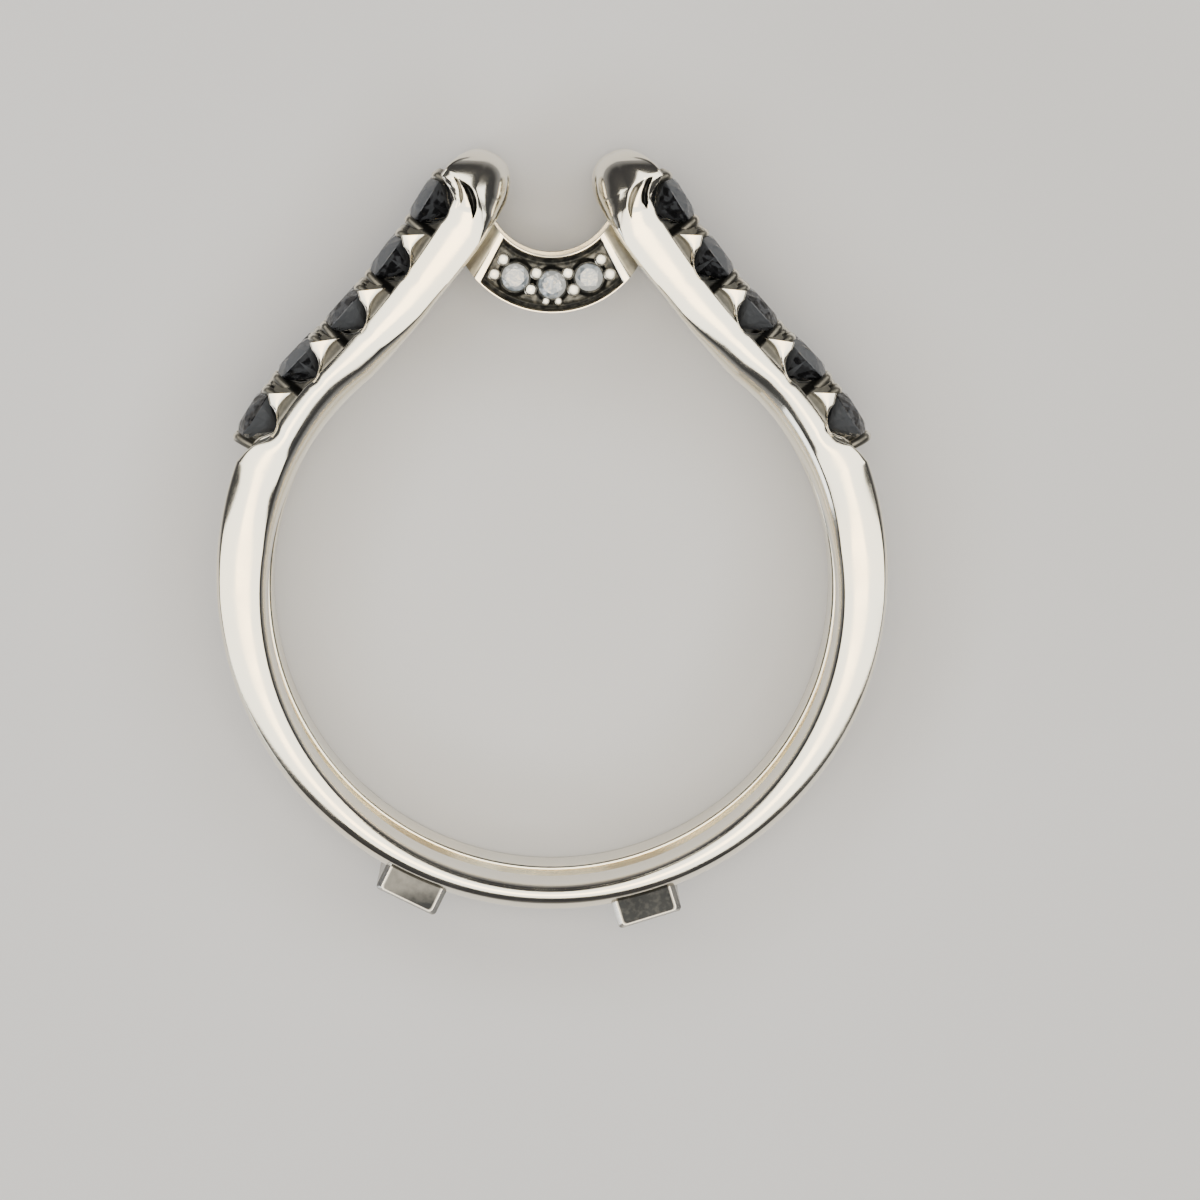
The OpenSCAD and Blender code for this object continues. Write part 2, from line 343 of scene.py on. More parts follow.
def outer_height(s):
    """Height of the metal's outside over the row's line.

    It is the shank's circle, or the shoulder's listed heights less the lower half of each window's circle.
    """
    shank = shank_out(row_angle(s)) - ROW_R
    listed = np.interp(s, SHOULDER_TOP["down"], SHOULDER_TOP["height"])
    near = s - WINDOW_DOWN
    near = near - PITCH * np.clip(np.round(near / PITCH), 0, ROW_COUNT - 1)
    window = WINDOW_RISE - np.sqrt(np.maximum(WINDOW_R**2 - near**2, 0))
    listed = np.where(np.abs(near) < 0.5, np.minimum(listed, window), listed)
    return np.where(s > SHOULDER_TOP["down"][-1], shank, listed)


# Hollow beside the first stone, by the angle in degrees about the stone's middle: how far from there its two
# channels lie, and half their widths
TIP_CHANNELS = {
    "angle": (4, 12, 25, 42, 54, 66, 80),
    "inner": (1.00, 0.97, 0.91, 0.84, 0.80, 0.75, 0.70),
    "inner_half": (0.0, 0.07, 0.09, 0.11, 0.105, 0.06, 0.02),
    "outer": (1.10, 1.11, 1.13, 1.165, 1.20, 1.245, 1.29),
    "outer_half": (0.0, 0.03, 0.09, 0.125, 0.13, 0.09, 0.0),
}
# Each side's channels: how far out one moves, the angle at which it ends, and its shares of width and shade
TIP_SIDES = {
    "right": {"inner": (0.0, 72, 1.0, 1.0), "outer": (0.0, 90, 0.75, 0.55)},
    "left": {"inner": (0.06, 62, 0.5, 0.5), "outer": (0.0, 90, 1.0, 1.0)},
}
# Degrees over which a channel narrows to its end, its depth and the gain by its shade, and the hollow's own
CHANNEL_FADE, CHANNEL_DEPTH, HOLLOW_DEPTH, HOLLOW_SHADE = 18, (0.02, 0.14), 0.03, 0.10
# Half widths at which a channel begins to show and shows wholly, how far past them its depth and its shade
# reach, and the share of them at which the shade begins to fall
CHANNEL_SHOWS, DEPTH_PAST, SHADE_PAST, SHADE_FALLS = (0.004, 0.02), 0.01, 0.02, 0.6
# Where the hollow begins about the inner channel's middle and where it is gone, and the degrees at which it
# begins, is full, fades and is gone
HOLLOW_BEGINS, HOLLOW_END, HOLLOW_TURN = (-0.08, 0.05), 1.36, (2, 12, 62, 74)


def tip_relief(s, height, side):
    """Depth and shade of the hollow beside the first stone, and of the two channels in it.

    A point's distance and angle about the stone's middle are compared with the listed ones. A channel's depth
    falls by the cubic step of how far the point is from its middle, and the hollow spans both channels.
    """
    far = np.hypot(s, height)
    turn = np.degrees(np.arctan2(-height, -s))
    listed = {name: np.interp(turn, TIP_CHANNELS["angle"], row) for name, row in TIP_CHANNELS.items()}
    depth, shade = np.zeros_like(far), np.zeros_like(far)
    for name, (moved, end, wide, dark) in TIP_SIDES[side].items():
        half = listed[name + "_half"] * wide * (1 - smooth(turn, end - CHANNEL_FADE, end))
        off = np.abs(far - listed[name] - moved)
        there = smooth(half, *CHANNEL_SHOWS)
        depth += grown(CHANNEL_DEPTH, dark) * (1 - smooth(off, 0.0, half + DEPTH_PAST)) * there
        shade += dark * (1 - smooth(off, half * SHADE_FALLS, half + SHADE_PAST)) * there
    start, full = (listed["inner"] + edge for edge in HOLLOW_BEGINS)
    hollow = within(far, start, full, listed["outer"], HOLLOW_END) * within(turn, *HOLLOW_TURN)
    return HOLLOW_DEPTH * hollow + depth, np.clip(HOLLOW_SHADE * hollow + shade, 0, 1)


def band_stations():
    """Ways down the row of a band's sections, where each takes its shape from, and how far each is shrunk.

    Past the tip's end a section shrinks by the cosine of an angle while it moves on by that angle's sine.
    """
    bottom = FLARE_LEN + (FLARE_START + pi / 2) * ROW_R
    ends = (TIP_END, ROW_FROM, ROW_TO, SHANK_FROM, bottom)
    stretches = [np.linspace(a, b, count)[1:] for a, b, count in zip(ends, ends[1:], SECTIONS)]
    s = np.concatenate([[TIP_END], *stretches])
    turn = np.linspace(pi / 2, TIP_CREASE, BALL_SECTIONS)[:-1]
    shrink = np.concatenate([np.cos(turn) / cos(TIP_CREASE), np.ones_like(s)])
    past = TIP_REACH * (np.sin(turn) - sin(TIP_CREASE)) / (1 - sin(TIP_CREASE))
    s_all = np.concatenate([TIP_END - past, s])
    return s_all, np.maximum(s_all, TIP_END), shrink


def band_grid(band):
    """One band as a rounded section carried from its right tip round under the finger to its left tip.

    The section spans from the inside to the outside of the metal along the row's normal. Its listed roundings
    grow to almost its whole size where it shrinks, which makes the tip a ball. The middle of its outside is
    sunk under the stones, and the tips' hollows are cut into its face.
    """
    s_all, s_shape, shrink = band_stations()
    to_ball = smooth(1 - shrink, 0.0, BALL_SHRUNK)
    inner, outer = inner_depth(s_shape), outer_height(s_shape)
    half, middle = (outer + inner) / 2, (outer - inner) / 2
    half = half * shrink**BALL_POWER
    deep = BAND_W / 2 * shrink
    most = BALL_DEEP * deep

    def corner(rounding):
        sizes = []
        for name, room, ball in (("width", half, BALL_WIDE * half), ("depth", most, most)):
            size = np.minimum(np.interp(s_shape, rounding["down"], rounding[name]), room)
            sizes.append(size + (ball - size) * to_ball)
        return sizes

    near_in, near_out = corner(HOLE_ROUNDING), corner(OUTER_ROUNDING)
    slot_r = np.minimum(SLOT_ROUNDING, SLOT_SHARE * deep) + (BALL_SLOT * np.minimum(half, deep)) * to_ball
    beside, under = (within(s_shape, *ways) for ways in (BESIDE_STONES, UNDER_STONES))
    rise = FACE_DOME - STONES_LESS * beside - SHANK_LESS * smooth(s_shape, *LESS_WAY)
    dome = (1 - to_ball) ** 2 * rise
    power = 1 + POWER_GAIN * smooth(s_shape, *POWER_WAY) * (1 - to_ball)
    x, z = rounded(half, deep, near_in, near_out, slot_r, dome, flats=(6, 76, 10, 8), power=power)

    rim, edge = half[:, None], (half - near_out[0])[:, None]
    on_top = under[:, None] * smooth(x, *(rim - low for low in SINK_UNDER))
    x = x - ROW_SINK * on_top * (1 - smooth(np.abs(z), *SINK_ACROSS))
    height = middle[:, None] + x
    stretch = np.repeat(s_all[:, None], height.shape[1], axis=1)
    on_face = (z > (deep - FACE_SKIN)[:, None]) * smooth(stretch, TIP_END, TIP_END + FACE_BEGINS)
    on_face = on_face * (1 - smooth(x, edge - FACE_ENDS[0], edge + FACE_ENDS[1]))
    halves = {}
    for side in SIDES:
        depth, shade = (on_face * r for r in tip_relief(stretch, height, side))
        shade = np.maximum(shade, ROW_SHADE * on_top)
        points = to_row(np.zeros_like(height), height, stretch, z - depth)
        halves[side] = mirrored(with_shade(points, shade), side, band)
    return np.concatenate([halves["right"], halves["left"][::-1][1:]])


# Prongs between the stones

# Cores under the prongs: foot, waist and top over the row's line, half the width, the share of the height by
# which it narrows, how far they are cut back, and the facets' shade and how much lighter they get
CORE_FOOT, CORE_WAIST, CORE_TOP = -0.78, -0.5, 0.2
CORE_HALF, CORE_LEAN, CORE_CUT = 1.06, 0.4, 0.5
FACET_SHADE, FACET_LIGHTER = 0.97, (0.08, 0.08)
# Toward the stone before, where the cut begins and is full, and where the facets' lighter part begins to end
CUT_WAY, LIGHTER_ENDS = (0.2, 0.45), (0.15, 0.3)
# Fishtail plates: their thickness, how far they stay behind the band's face, and the rounding of their edges
PLATE, PLATE_BACK, PLATE_ROUNDING = 0.5, 0.02, 0.05
# Their outer side: how far its circle is moved from the window's, the share of the way on which it follows
# that circle, and the lean and height of its upper end; their inner side: the place of its arc's middle
TAIL_MOVED, TAIL_LEAVES, TAIL_LEAN, TAIL_TOP = np.array([0.19, -0.03]), 0.72, 0.07, -0.07
ARC_X, ARC_DROP = -0.74, 0.03
# Values at the foot with their gain on the way up: a fishtail's angle along its circle, radius of its stem,
# angle and radius of its arc, and a claw's radius, place along the row and across, height and shade
TAIL_ANGLE, STEM_R, ARC_ANGLE, ARC_R = (223, -88), (WINDOW_R + 0.03, 0.04), (-30, 100), (0.83, 0.07)
CLAW_R, CLAW_ALONG, CLAW_ACROSS = (0.13, 0.02), (0.2, 0.06), (0.76, -0.13)
CLAW_H, CLAW_SHADE, CLAW_BALL = (-0.16, 0.65), (0.9, -0.72), 0.76


def core_grid(i):
    """Metal between stones i and i + 1, under their prongs, as rings stacked up from the rail.

    A ring's sides keep clear of the window's circle and of the stones' cones: half its length at a height is
    half the pitch less the greater of the window's chord and the stone's chord at that distance across the
    band. Above the waist the faces lean in by two fifths of the height, which hollows the prong's back.
    They are cut back by half a millimetre beside the stone before, by the cubic step of the way to it.
    """
    s = (i - 0.5) * PITCH
    height = np.linspace(CORE_FOOT, CORE_TOP, 22)[:, None]
    share = np.linspace(-1, 1, 25)[None, :]
    wide = CORE_HALF - CORE_LEAN * np.maximum(height - CORE_WAIST, 0)
    window = np.sqrt(np.maximum(CUT_R**2 - (height - CUT_RISE) ** 2, 0))
    cone = (STONE_D / 2 + STONE_GAP) * np.clip((height - CULET_H) / (GIRDLE_H - CULET_H), 0, 1)

    def free(z):
        return PITCH / 2 - np.maximum(window, np.sqrt(np.maximum(cone**2 - z**2, 0)))

    def cut(p):
        return wide - CORE_CUT * smooth(-p, *CUT_WAY)

    # The cut faces end at the last of many steps toward the stone before that is still clear of it
    way = np.linspace(0, PITCH / 2, 300)[None, :]
    last = np.where(way <= free(cut(-way)), way, 0).max(axis=1, keepdims=True)
    before_z, after_z = share[:, ::-1] * cut(-last), share * wide
    before_p, after_p = -free(before_z), free(after_z)
    before_p[:, [0, -1]] = -last
    along = after_p[:, -1:] - (after_p[:, -1:] + last) * np.linspace(0, 1, 34)[None, 1:-1]
    facet_z = cut(along)
    ring_p = np.concatenate([after_p, along, before_p, along[:, ::-1]], axis=1)
    ring_z = np.concatenate([after_z, facet_z, before_z, -facet_z[:, ::-1]], axis=1)
    ring_h = height + 0 * ring_p
    lighter = grown(FACET_LIGHTER, smooth(-height, 0.0, 0.6)) * (1 - smooth(-along, *LIGHTER_ENDS))
    facet, dark = FACET_SHADE - lighter, np.ones_like(after_p)
    ring_shade = np.concatenate([dark, facet, dark, facet[:, ::-1]], axis=1)
    ring_p, ring_z = (np.concatenate([r[:1] * 0, r, r[-1:] * 0]) for r in (ring_p, ring_z))
    ring_h, ring_shade = (np.concatenate([r[:1], r, r[-1:]]) for r in (ring_h, ring_shade))
    grid = to_row(ring_p, ring_h, np.full_like(ring_h, s), ring_z)
    return with_shade(grid, ring_shade)


def fishtail_grid(i, face):
    """Fishtail plate between stones i and i + 1 on one face of the band.

    It is a thin rounded section carried up a stem. Its outer side follows the next window's circle and then
    rises, leaning out a little. Its inner side is a slightly larger circle along the stem, then an arc about
    a point beside the stone before, whose radius grows as it opens. The top is cut straight between the two.
    """
    middle = row_point(np.array((i - 0.5) * PITCH))
    step = row_point(np.array(i * PITCH)) - middle
    v = np.linspace(0, 1, 34)
    window = step + TAIL_MOVED
    arc = np.radians(grown(TAIL_ANGLE, np.clip(v / TAIL_LEAVES, 0, 1)))
    outer = window + WINDOW_R * direction(arc)
    stem = window + grown(STEM_R, v[:, None]) * direction(arc)
    outer = outer + smooth(v, TAIL_LEAVES, 1.0)[:, None] * np.array([TAIL_LEAN, TAIL_TOP - outer[-1, 1]])
    turn = np.radians(grown(ARC_ANGLE, v))
    radius = grown(ARC_R, smooth(turn, 0.0, 1.15))
    inner = np.array([ARC_X, step[1] - ARC_DROP]) + radius[:, None] * direction(turn)
    inner = stem + smooth(v, 0.25, 0.5)[:, None] * (inner - stem)
    centre, half = (outer + inner) / 2, np.linalg.norm(outer - inner, axis=1) / 2
    across = (outer - inner) / (2 * half[:, None])
    centre, across, half = (np.concatenate([r[:1], r, r[-1:]]) for r in (centre, across, half))
    edge = [np.minimum(PLATE_ROUNDING, 0.8 * half)] * 2
    x, z = rounded(half, PLATE / 2, edge, edge, 0.02, 0.015, flats=(2, 8, 2, 2), turns=4)
    x[[0, -1]], z[[0, -1]] = 0, 0
    flat = middle + centre[:, None, :] + x[..., None] * across[:, None, :]
    depth = BAND_MID + face * (BAND_W / 2 - PLATE_BACK - PLATE / 2 + z)
    return np.concatenate([flat, depth[..., None]], axis=-1)


def claw_grid(s, toward, face):
    """Prong that rises beside the row and laps over a stone's edge.

    It is circles carried up a line that leans by the square of the way, with a ball for its end. It has
    painted shade below and is painted brighter on top by the cubic step of the way.
    """
    turn = np.linspace(0, pi / 2, 8)[1:]
    ball = CLAW_BALL + (1 - CLAW_BALL) * np.sin(turn)
    way = np.concatenate([[0.0], np.linspace(0, CLAW_BALL, 8), ball])[:, None]
    size = np.concatenate([[0.0], np.ones(8), np.cos(turn)])[:, None]
    around = np.linspace(0, 2 * pi, 16, endpoint=False)
    radius = grown(CLAW_R, way) * size
    p = toward * grown(CLAW_ALONG, way**2) + radius * np.cos(around)
    z = face * grown(CLAW_ACROSS, way**2) + radius * np.sin(around)
    h = grown(CLAW_H, way) + 0 * around
    # Painted shade below, fading to a painted lighter top
    shade = grown(CLAW_SHADE, smooth(way, 0.7, 0.95)) + 0 * around
    return with_shade(to_row(p, h, np.full_like(h, s), z), shade)


def shoulder_prongs():
    """All grids of one shoulder's prongs, on the right side of the near band."""
    grids = []
    for i in range(1, ROW_COUNT):
        grids.append(core_grid(i))
        for face in (1, -1):
            grids.append(fishtail_grid(i, face))
            for toward in (1, -1):
                grids.append(claw_grid((i - 0.5) * PITCH, toward, face))
    for face in (1, -1):
        grids.append(claw_grid(-PITCH / 2, 1, face))
        grids.append(claw_grid((ROW_COUNT - 0.5) * PITCH, -1, face))
    return grids


# Gallery bars between the shoulders

# Half angles about the notch's centre of the bar's upper and lower edge, and how much further each end runs
UPPER_TURN, LOWER_TURN, BAR_REACH = radians(50), radians(41.5), 1.16
# Relief of the bar's face: height of rims and end walls, depth of the ground, and from there depth of
# channels and height of seats; a channel's place and half width, as shares of the bar's half width
RIM_H, GROUND_DEPTH, CHANNEL_SUNK, SEAT_H = 0.15, 0.07, 0.06, 0.17
CHANNEL_AT, CHANNEL_HALF = 0.24, 0.08
# Shades of the ground, of what its channels and seats add, of the upper rim's middle and of the bar's ends
GROUND_SHADE, GROUND_MORE, RIM_SHADE, END_SHADE = 0.90, 0.08, 0.5, 0.55
# Rim's inner edge as shares of half the width, and along the bar, as shares of half its length, the foot and
# top of its walls, where their slope starts with its steepness, the dark of the ends and of the rim's middle
RIM_EDGE, WALL_EDGE, SLOPE_FROM, SLOPE = (0.05, 0.12), (0.87, 0.90), 0.985, 1.5
DARK_ENDS, DARK_MIDDLE = (0.99, 1.04), (0.15, 0.5)
# Distances from a stone's middle: its seat's ring, and where the darker ground round it ends
SEAT_RING, STONE_DARK = (0.385, 0.42, 0.46, 0.58), (0.5, 0.62)
# Grains: distance from the notch's centre, angle in degrees from straight down, and radius
GRAINS = {
    "distance": (2.60, 2.60, 2.60, 2.60, 3.12, 3.12, 3.12, 3.12, 3.40, 3.40),
    "angle": (-34.5, -10.5, 10.5, 34.5, -34.0, -12.0, 12.0, 34.0, -3.2, 3.2),
    "radius": (0.20, 0.20, 0.20, 0.20, 0.20, 0.20, 0.20, 0.20, 0.12, 0.12),
}
GRAIN_FOOT, GRAIN_H = -0.25, 0.09


def gallery_edges(v):
    """Points of the bar's upper and lower edge at v from -1, left, to 1, right.

    Both lie at angles about the notch's centre that grow evenly with v: the upper edge on the notch's circle,
    the lower edge where that direction meets the larger circle below.
    """
    up = -pi / 2 + UPPER_TURN * v
    low = -pi / 2 + LOWER_TURN * v
    u = direction(low)
    rise = NOTCH_Y - GALLERY_Y
    reach = -u[:, 1] * rise + np.sqrt((u[:, 1] * rise) ** 2 - rise**2 + GALLERY_R**2)
    return NOTCH_C + NOTCH_R * direction(up), NOTCH_C + reach[:, None] * u


def gallery_relief(flat, share, v):
    """Height and shade of the bar's face over its ground.

    Rims stand at the edges and a wall at each end, which slopes away to the shoulder. Inside them the ground
    is sunk along each rim by a bell curve of the share of the width, and rises to a ring round each stone.
    """
    edge = 1 - np.abs(share) + 0 * v[:, None]
    out = np.abs(v)[:, None] + 0 * share
    rim = 1 - smooth(edge, *RIM_EDGE)
    wall = smooth(out, *WALL_EDGE)
    inside = (1 - rim) * (1 - wall)
    height = RIM_H * np.maximum(rim, wall) - GROUND_DEPTH * inside - SLOPE * np.maximum(out - SLOPE_FROM, 0)
    off = np.full_like(edge, np.inf)
    for k in GALLERY_STEPS.values():
        centre = NOTCH_C + SMALL_ROW_R * direction(-pi / 2 + k * SMALL_STEP)
        off = np.minimum(off, np.linalg.norm(flat - centre, axis=-1))
    channel = np.exp(-(((edge - CHANNEL_AT) / CHANNEL_HALF) ** 2)) * inside
    seat = within(off, *SEAT_RING) * inside
    height = height - CHANNEL_SUNK * channel * (1 - seat) + SEAT_H * seat
    ground = GROUND_SHADE + GROUND_MORE * channel + GROUND_MORE * (1 - smooth(off, *STONE_DARK))
    shade = inside * np.clip(ground, 0, 1)
    dim = RIM_SHADE * rim * (share < 0) * (1 - smooth(out, *DARK_MIDDLE))
    return height, shade + dim + END_SHADE * smooth(out, *DARK_ENDS)


def gallery_grid(band):
    """One gallery bar: the two edges joined by a face with its relief, straight sides and a flat back."""
    v = np.linspace(-BAR_REACH, BAR_REACH, 211)
    upper, lower = gallery_edges(v)
    share = np.linspace(-1, 1, 61)
    flat = (upper[:, None] * (1 - share)[:, None] + lower[:, None] * (1 + share)[:, None]) / 2
    height, shade = gallery_relief(flat, share, v)
    way = np.linspace(0, 1, 5)[:, None]
    back = lower[:, None] * way[::-1] + upper[:, None] * way
    flat_back = np.zeros(back.shape[:2])
    ring = np.concatenate([flat, back], axis=1)
    ring_z = np.concatenate([GALLERY_FACE + height, GALLERY_BACK + flat_back], axis=1)
    shade = np.concatenate([shade, flat_back], axis=1)
    grid = with_shade(np.concatenate([ring, ring_z[..., None]], axis=-1), shade)
    hub = (GALLERY_FACE + GALLERY_BACK) / 2
    first, last = (np.broadcast_to([*(upper[i] + lower[i]) / 2, hub, 0], grid[:1].shape) for i in (0, -1))
    return mirrored(np.concatenate([first, grid, last]), "right", band)


def grain_grid(centre, radius):
    """Grain as a short upright post with a low dome.

    Its circles' radius and height go by a quarter turn's cosine and sine, the height flattened to a third.
    """
    turn = np.linspace(0, pi / 2, 8)
    size = radius * np.concatenate([[0, 1], np.cos(turn)])[:, None]
    dome = GRAIN_H + radius * np.sin(turn) / 3
    height = np.concatenate([[GRAIN_FOOT, GRAIN_FOOT], dome])[:, None]
    around = np.linspace(0, 2 * pi, 20, endpoint=False)[None, :]
    shade = np.concatenate([[1, 1, 0.9, 0.4], np.zeros(6)])[:, None]
    return np.stack([centre[0] + size * np.cos(around), centre[1] + size * np.sin(around),
                     GALLERY_FACE + height + 0 * around, shade + 0 * around], axis=-1)


def gallery_grains(band):
    """The grains that hold the gallery stones, placed by distance and angle about the notch's centre."""
    grids = []
    for distance, angle, radius in zip(*GRAINS.values()):
        centre = NOTCH_C + distance * direction(radians(angle - 90))
        grids.append(mirrored(grain_grid(centre, radius), "right", band))
    return grids


# Bridges under the finger

# Angle in degrees from straight down, and the painted shade of the ends and its gain
BRIDGE_ANGLES = {"left": -26, "right": 17}
BRIDGE_END_SHADE = {"left": (0.84, 0.16), "right": (1.0, 0.0)}
# Reach over and under the shank's outside, half the width, rounding, how far the ends stay behind the faces,
# the length over which they are drawn in, and the shade of the sides
BRIDGE_OVER, BRIDGE_UNDER, BRIDGE_HALF, BRIDGE_EDGE = 0.75, 0.3, 1.0, 0.13
BRIDGE_SHORT, BRIDGE_CAP, BRIDGE_SHADE = 0.3, 0.12, 0.45


def bridge_grid(side):
    """One bridge: a rounded oblong section carried across both bands, drawn in a little at its two ends.

    The end's painted shade, which also dulls it, grows by the cubic step of the way outward plus half the way
    across.
    """
    end = TOTAL_W / 2 - BRIDGE_SHORT
    cap = np.array([0.0, 0.3, 0.6, 0.78, 0.86])
    bar = np.linspace(-end + BRIDGE_CAP, end - BRIDGE_CAP, 25)
    z = np.concatenate([np.full_like(cap, -end), bar, np.full_like(cap, end)])
    shrink = np.concatenate([cap, np.ones_like(bar), cap[::-1]])
    at = radians(BRIDGE_ANGLES[side] - 90)
    low, high = shank_out(at) - BRIDGE_UNDER, shank_out(at) + BRIDGE_OVER
    half, edge = np.full_like(z, (high - low) / 2), [BRIDGE_EDGE] * 2
    x, y = rounded(half, BRIDGE_HALF, edge, edge, BRIDGE_EDGE, 0.0, flats=(4, 6, 4, 6), turns=5)
    x, y = x * shrink[:, None], y * shrink[:, None]
    radial, across = direction(at), direction(at + pi / 2)
    flat = ((low + high) / 2 + x)[..., None] * radial + y[..., None] * across
    # Painted shade on the end faces, growing outward and across, which also dulls them
    dull = grown(BRIDGE_END_SHADE[side], smooth(x + 0.5 * y, 0.0, 0.6))
    on_end = dull * (1 - smooth(shrink, cap[-2], cap[-1]))[:, None]
    shade = np.where((np.abs(z) == end)[:, None], on_end, BRIDGE_SHADE)
    depth = np.repeat(z[:, None], x.shape[1], axis=1)
    return with_shade(np.concatenate([flat, depth[..., None]], axis=-1), np.clip(shade, 0, 1))


# Stones

FLASH_STEP, FLASH_MOVE = 12.9898, 37.7


def cut_stone():
    """Points and facets of a round brilliant of diameter 1 about its girdle's centre, table up.

    A main crown facet is the plane through a table corner and the girdle below it, so the point between two
    of them lies on both planes; the pavilion is made the same way. That gives the table, 8 star, 8 main and
    16 girdle facets above, 16 girdle sides, and 8 main and 16 girdle facets below.
    """
    table_r, crown, girdle, pavilion = 0.28, 0.155, 0.007, 0.43
    main, half = np.arange(8) * pi / 4, (np.arange(8) + 0.5) * pi / 4
    lean = cos(pi / 8)
    crown_mid, low_mid = 0.38, 0.12
    crown_z = girdle + crown * (0.5 - crown_mid * lean) / (0.5 - table_r)
    low_z = -girdle - pavilion * (0.5 - low_mid * lean) / 0.5

    def ring(radius, angle, z):
        return np.column_stack([radius * direction(angle), np.full(len(angle), z)])

    all_round = np.arange(16) * pi / 8
    points = np.concatenate([
        ring(table_r, main, girdle + crown),
        ring(crown_mid, half, crown_z),
        ring(0.5, all_round, girdle),
        ring(0.5, all_round, -girdle),
        ring(low_mid, half, low_z),
        [[0, 0, -girdle - pavilion]],
    ])
    k, j = np.arange(8), np.arange(16)
    n, b = (k + 1) % 8, (k - 1) % 8
    table, mid, up, down, low, culet = 0, 8, 16, 32, 48, 56
    kinds = [
        (table + n, table + k, mid + k),
        (table + k, mid + b, up + 2 * k, mid + k),
        (mid + k, up + 2 * k, up + 2 * k + 1),
        (mid + k, up + 2 * k + 1, up + 2 * n),
        (up + j, down + j, down + (j + 1) % 16, up + (j + 1) % 16),
        (np.full(8, culet), low + k, down + 2 * k, low + b),
        (low + k, down + 2 * k + 1, down + 2 * k),
        (low + k, down + 2 * n, down + 2 * k + 1),
    ]
    facets = [list(range(8))]
    for kind in kinds:
        facets += np.stack(kind, axis=1).tolist()
    return points, facets


def set_stone(node, diameter, origin, up, ahead, side, band, material):
    """One stone turned to stand with its table along up, placed at origin and mirrored to its side and band.

    Its facets get unlike shares of a painted highlight: the size of the sine of their number times a step,
    plus a part of the stone's place.
    """
    points, facets = cut_stone()
    turned = points[:, :1] * ahead + points[:, 1:2] * np.cross(up, ahead) + points[:, 2:] * up
    placed = mirrored(origin + diameter * turned, side, band)
    if SIDES[side] * BANDS[band] < 0:
        facets = [f[::-1] for f in facets]
    mesh = bpy.data.meshes.new("cut_" + node)
    mesh.from_pydata((placed * MM).tolist(), [], facets)
    flash = mesh.attributes.new("flash", "FLOAT", "FACE")
    spread = np.abs(np.sin(FLASH_STEP * np.arange(len(facets)) + FLASH_MOVE * origin[0]))
    flash.data.foreach_set("value", spread.astype(np.float32))
    finish_piece(mesh, material, [node], sharp=0)


# Finishes


def new_material(name):
    """A new node material, its node tree, its Principled shader and the piece's own coordinates."""
    material = bpy.data.materials.new(name)
    material.use_nodes = True
    tree = material.node_tree
    return material, tree, tree.nodes["Principled BSDF"], add(tree, "TexCoord").outputs["Object"]


def add(tree, kind, inputs=None, **settings):
    """Adds one shader node with its settings and its inputs, which are values or sockets of other nodes."""
    node = tree.nodes.new("ShaderNode" + kind)
    for key, value in settings.items():
        setattr(node, key, value)
    for key, value in (inputs or {}).items():
        if isinstance(value, bpy.types.NodeSocket):
            tree.links.new(value, node.inputs[key])
        else:
            node.inputs[key].default_value = value
    return node


def ramp(tree, factor, stops):
    """A colour ramp over the factor, with its stops as (position, colour)."""
    node = add(tree, "ValToRGB", {"Fac": factor})
    elements = node.color_ramp.elements
    while len(elements) < len(stops):
        elements.new(0.5)
    for element, (position, colour) in zip(elements, stops):
        element.position = position
        element.color = (*colour, 1)
    return node.outputs["Color"]


def noise(tree, where, scale, detail):
    """Noise over the coordinates, of a scale per metre."""
    return add(tree, "TexNoise", {"Vector": where, "Scale": scale, "Detail": detail}).outputs["Fac"]


def bump(tree, height, strength, distance, under=None):
    """Normal of a relief of a distance in metres, on top of another normal where one is given."""
    inputs = {"Height": height, "Strength": strength, "Distance": distance}
    if under:
        inputs["Normal"] = under
    return add(tree, "Bump", inputs).outputs["Normal"]


def rescaled(tree, value, old, new):
    """A value carried from the range old to the range new."""
    inputs = {"Value": value, "From Min": old[0], "From Max": old[1], "To Min": new[0], "To Max": new[1]}
    return add(tree, "MapRange", inputs).outputs["Result"]


def mixed(tree, share, first, second):
    """Two colours mixed by a share of the second."""
    return add(tree, "MixRGB", {"Fac": share, "Color1": first, "Color2": (*second, 1)}).outputs["Color"]


def times(colour, factors):
    """A colour times a factor for each channel, at most 1."""
    return tuple(min(1.0, c * f) for c, f in zip(colour, factors))


# Factors for the cooler and warmer tints of the colour's cloud, and for its dark copy where shade is painted
WARMER, COOLER, PAINTED_SHADE_TONE = (1.03, 1.0, 0.95), (0.96, 0.98, 1.0), (0.052, 0.056, 0.063)


